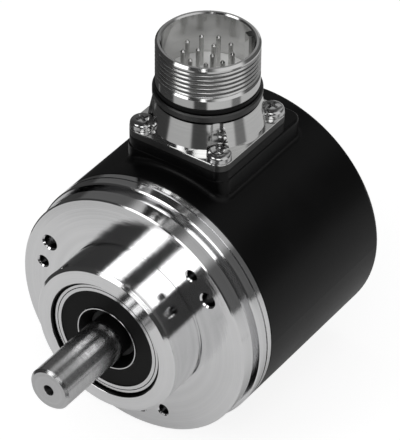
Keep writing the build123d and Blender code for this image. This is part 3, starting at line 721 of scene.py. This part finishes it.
class MakeScrews(bpy.types.Operator):
    """Build the four pan-head screws of the connector with their cross recesses"""
    bl_idname = "encoder.make_screws"
    bl_label = "Connector screws"

    def execute(self, context):
        sizes = context.scene.encoder_screws
        low, high = SCREW_BOX
        spread = high.x - sizes.head_radius
        finish = plain_metal("plated_screw_steel", (0.60, 0.60, 0.60), 0.16,
                             grain_scale=2.0, grain_depth=0.003)
        draw = random.Random(5)
        shape = bmesh.new()
        for side in (-1, 1):
            for end in (-1, 1):
                spot = Matrix.Translation((side * spread, CONNECTOR_AXIS.y + end * spread, PLATE_TOP))
                turn = Matrix.Rotation(draw.uniform(0, pi / 2), 4, "Z")
                self.add_screw(shape, spot @ turn, sizes, PLATE_TOP - low.z)
        mesh_piece("connector_screws_crossed", shape, finish, sharp_angle=32,
                   replaced=("connector_screws",))
        return {"FINISHED"}

    def add_screw(self, shape, place, sizes, length):
        """One screw as loops of one outline: the cross recess, its walls, the domed head and the shank."""
        head, shank = sizes.head_radius, sizes.shank_radius
        tip_radius, tip_length, rim_height = 1.1 * MM, 0.4 * MM, 0.12 * MM
        recess_floor = SCREW_HEAD_HEIGHT - sizes.recess_depth
        corners = self.cross_outline(sizes.arm_half_width, sizes.arm_length)
        spans = [hypot(x, y) for x, y in corners]
        rows = [[(span * 0.62, recess_floor) for span in spans]]
        for share in (0, 0.25, 0.5, 0.72, 0.88, 0.96, 1):
            grown = [span + (head - span) * share for span in spans]
            rows.append([(span, self.dome(span / head)) for span in grown])
        for radius, level in ((head, rim_height), (head * 0.97, 0), (shank, 0),
                              (shank, tip_length - length), (tip_radius, -length)):
            rows.append([(radius, level)] * len(corners))
        loops = []
        for row in rows:
            loops.append(loop_of(shape, [
                place @ Vector((x / full * span, y / full * span, level))
                for (x, y), full, (span, level) in zip(corners, spans, row)]))
        join_loops(shape, loops)
        middle = shape.verts.new(place @ Vector((0, 0, recess_floor - 0.1 * MM)))
        for first, second in zip(loops[0], loops[0][1:] + loops[0][:1]):
            shape.faces.new((first, second, middle))
        shape.faces.new(loops[-1])

    @staticmethod
    def dome(share):
        """Height of the pan head at a share of its radius."""
        rim, fullness = 0.42, 3.2
        return SCREW_HEAD_HEIGHT * (rim + (1 - rim) * (1 - min(share, 1) ** fullness) ** 0.5)

    @staticmethod
    def cross_outline(half_width, length):
        """A cross with rounded inner corners, split finely enough for the round head outside it."""
        along = [half_width + (length - half_width) * share for share in (0.75, 0.5, 0.28)]
        inner = half_width * 1.25
        quarter = [(length, half_width * share) for share in (0, 0.5, 1)]
        quarter += [(reach, half_width) for reach in along]
        quarter += [(inner, inner)]
        quarter += [(half_width, reach) for reach in reversed(along)]
        quarter += [(half_width * share, length) for share in (1, 0.5)]
        outline = []
        for turn in range(4):
            c, s = round(cos(turn * pi / 2)), round(sin(turn * pi / 2))
            outline += [(x * c - y * s, x * s + y * c) for x, y in quarter]
        return outline


class MakeRearScrews(bpy.types.Operator):
    """Build the three countersunk screws of the housing with their hexagon sockets"""
    bl_idname = "encoder.make_rear_screws"
    bl_label = "Housing screws"

    def execute(self, context):
        low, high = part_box("housing_screws")
        finish = plain_metal("blackened_socket_steel", (0.05, 0.05, 0.05), 0.35, grain_scale=2.5)
        draw = random.Random(11)
        shape = bmesh.new()
        for index in range(REAR_SCREWS):
            angle = radians(REAR_SCREW_ANGLE + 360 / REAR_SCREWS * index)
            spot = (REAR_SCREW_CIRCLE * cos(angle), high.y, REAR_SCREW_CIRCLE * sin(angle))
            place = Matrix.Translation(spot) @ Matrix.Rotation(draw.uniform(0, pi / 3), 4, "Y")
            self.add_screw(shape, place, context.scene.encoder_screws, high.y - low.y)
        mesh_piece("housing_screws_socketed", shape, finish, sharp_angle=30,
                   replaced=("housing_screws",))
        return {"FINISHED"}

    @staticmethod
    def add_screw(shape, place, sizes, length):
        """One screw as loops of the same number of corners, from the socket's floor to the tip."""
        corners = 48
        head, shank, socket = sizes.rear_head_radius, sizes.rear_shank_radius, sizes.socket_radius
        edge, bevel, tip_length = 0.08 * MM, 0.12 * MM, 0.3 * MM
        socket_wall, socket_floor = -1.1 * MM, -1.25 * MM
        angles = [2 * pi * step / corners for step in range(corners)]
        hexagon = [socket / cos(angle % (pi / 3) - pi / 6) for angle in angles]
        rows = [([reach * 0.9 for reach in hexagon], socket_floor), (hexagon, socket_wall), (hexagon, -bevel),
                ([reach + bevel for reach in hexagon], 0)]
        for radius, level in ((head - edge, 0), (head, -edge), (shank, -sizes.rear_head_height),
                              (shank, tip_length - length), (shank * 0.75, -length)):
            rows.append(([radius] * corners, level))
        loops = []
        for reaches, level in rows:
            loops.append(loop_of(shape, [
                place @ Vector((reach * cos(angle), level, reach * sin(angle)))
                for reach, angle in zip(reaches, angles)]))
        join_loops(shape, loops)
        shape.faces.new(loops[0])
        shape.faces.new(loops[-1])


class MakeStudio(bpy.types.Operator):
    """Set the camera, the softboxes, the floor and the surroundings"""
    bl_idname = "encoder.make_studio"
    bl_label = "Studio"

    def execute(self, context):
        studio = context.scene.encoder_studio
        self.camera(context, studio)
        self.floor(context)
        self.surroundings(context)
        for name, setting, turn, forward, distance, size, mirrored in SOFTBOXES:
            holder = self.softbox(name, turn, forward, distance, size, getattr(studio, setting))
            holder.visible_glossy = mirrored
            context.scene.collection.objects.link(holder)
        context.scene.view_settings.view_transform = "Standard"
        return {"FINISHED"}

    @staticmethod
    def camera(context, studio):
        """A camera at the photograph's viewing angle, upright but for a small roll."""
        a, e, r = studio.azimuth, studio.elevation, studio.roll
        back = Vector((sin(a) * cos(e), -cos(a) * cos(e), sin(e)))
        level = Vector((cos(a), sin(a), 0))
        upward = back.cross(level)
        right = cos(r) * level + sin(r) * upward
        up = cos(r) * upward - sin(r) * level
        lens = bpy.data.cameras.new("product_camera")
        lens.lens = studio.lens
        lens.sensor_width = 36
        lens.clip_end = 20
        viewer = bpy.data.objects.new("product_camera", lens)
        viewer.matrix_world = Matrix((right, up, back)).transposed().to_4x4()
        viewer.location = studio.aim_right * right + studio.aim_up * up + studio.distance * back
        context.scene.collection.objects.link(viewer)
        context.scene.camera = viewer

    @staticmethod
    def softbox(name, turn, forward, distance, size, radiance):
        """A lamp seen from the object at a turn about the shaft axis, facing the object."""
        across = (1 - forward * forward) ** 0.5
        c, s = cos(radians(turn)), sin(radians(turn))
        towards = Vector((across * c, forward, across * s))
        sideways = Vector((-s, 0, c))
        lamp = bpy.data.lights.new(name, "AREA")
        lamp.shape = "RECTANGLE"
        lamp.size, lamp.size_y = size
        lamp.energy = radiance * pi * lamp.size * lamp.size_y
        holder = bpy.data.objects.new(name, lamp)
        holder.matrix_world = Matrix((sideways, towards.cross(sideways), towards)).transposed().to_4x4()
        holder.location = towards * distance
        return holder

    def floor(self, context):
        """A round table top that shows white to the camera and pale grey to the metal."""
        shape = bmesh.new()
        bmesh.ops.create_circle(shape, cap_ends=True, segments=96, radius=TABLE_RADIUS)
        material, graph = new_finish("studio_paper")
        path = graph.node("ShaderNodeLightPath")
        seen = path["Is Camera Ray"] + path["Is Transmission Ray"]
        cards = self.cards(graph)
        paper = graph.blend(cards, grey(PAPER_SHADE), grey(CARD_SHADE))
        mirrored = graph.blend(path["Is Glossy Ray"] * (1 - cards), grey(0), grey(PAPER_GLOW))
        graph.surface({
            "Base Color": graph.blend(seen, paper, grey(CAMERA_SHADE)),
            "Roughness": 1.0,
            "Specular IOR Level": 0.0,
            "Emission Color": graph.blend(seen, mirrored, grey(CAMERA_GLOW)),
            "Emission Strength": 1.0,
        })
        table = bpy.data.objects.new("studio_floor", mesh_from("studio_floor", shape, material))
        table.location.z = FLOOR_LEVEL - TABLE_GAP
        context.scene.collection.objects.link(table)

    @staticmethod
    def cards(graph):
        """Dark cards on the table round the connector, which only its barrel mirrors."""
        x, y, z = graph.place()[1:]
        across = y - CONNECTOR_AXIS.y / MM
        turn = graph.math("ARCTAN2", across, x) * (180 / pi)
        dark = 0.0
        for start, end, share in CARDS:
            dark = dark + graph.band(turn, start, end, CARD_SOFTNESS) * share
        return dark * graph.clamp(graph.length(x, across), *CARD_START)

    @staticmethod
    def surroundings(context):
        """White to the camera, a dim room to the metal and an even light to the rest."""
        world = bpy.data.worlds.new("studio_room")
        context.scene.world = world
        graph = Graph(world)
        path = graph.node("ShaderNodeLightPath")
        direction = graph.node("ShaderNodeTexCoord", output="Generated")
        way = graph.node("ShaderNodeSeparateXYZ", sockets={0: direction})
        beside = graph.clamp(graph.math("ABSOLUTE", way["Y"]), low=0.3, high=0.5, start=1.0, end=0.0)
        window = graph.clamp(way["X"], low=0.25, high=0.6) * beside
        walls = graph.clamp(way["Y"], low=-0.2, high=0.7, start=ROOM_FRONT, end=ROOM_BACK)
        room = walls + window * WINDOW
        turn = graph.math("ARCTAN2", way["Z"], way["X"]) * (180 / pi)
        far = graph.clamp(way["Y"], low=0.3, high=0.5)
        for start, end, level in BACK_LIGHTS:
            room = room + graph.band(turn, start, end, BACK_LIGHT_SOFTNESS) * far * level
        seen = path["Is Camera Ray"] + path["Is Transmission Ray"]
        glossy = path["Is Glossy Ray"]
        level = seen + (1 - seen) * (glossy * room + (1 - glossy) * EVEN_LIGHT)
        light = graph.node("ShaderNodeBackground", sockets={"Color": grey(1), "Strength": level})
        graph.node("ShaderNodeOutputWorld", sockets={"Surface": light})


class EncoderPanel(bpy.types.Panel):
    """Lists the steps and the settings of the encoder's finish"""
    bl_idname = "VIEW3D_PT_encoder"
    bl_label = "Rotary encoder"
    bl_space_type = "VIEW_3D"
    bl_region_type = "UI"
    bl_category = "Encoder"

    def draw(self, context):
        for operator in STEPS:
            self.layout.operator(operator.bl_idname)
        for group in SETTINGS:
            settings = getattr(context.scene, group)
            box = self.layout.box()
            for name in settings.__annotations__:
                box.prop(settings, name)


STEPS = (DressFlange, DressShaft, DressSeals, DressHousing, DressConnector, DressElectronics,
         MakeThread, MakeScrews, MakeRearScrews, MakeStudio)
SETTINGS = {
    "encoder_finishes": EncoderFinishes,
    "encoder_thread": EncoderThread,
    "encoder_screws": EncoderScrews,
    "encoder_studio": EncoderStudio,
}


def register():
    for entry in (*SETTINGS.values(), *STEPS, EncoderPanel):
        bpy.utils.register_class(entry)
    for name, group in SETTINGS.items():
        setattr(bpy.types.Scene, name, PointerProperty(type=group))


def unregister():
    for name in SETTINGS:
        delattr(bpy.types.Scene, name)
    for entry in reversed((*SETTINGS.values(), *STEPS, EncoderPanel)):
        bpy.utils.unregister_class(entry)


def main():
    register()
    for operator in STEPS:
        group, name = operator.bl_idname.split(".")
        getattr(getattr(bpy.ops, group), name)()
    bpy.context.view_layer.update()


if __name__ == "__main__":
    main()
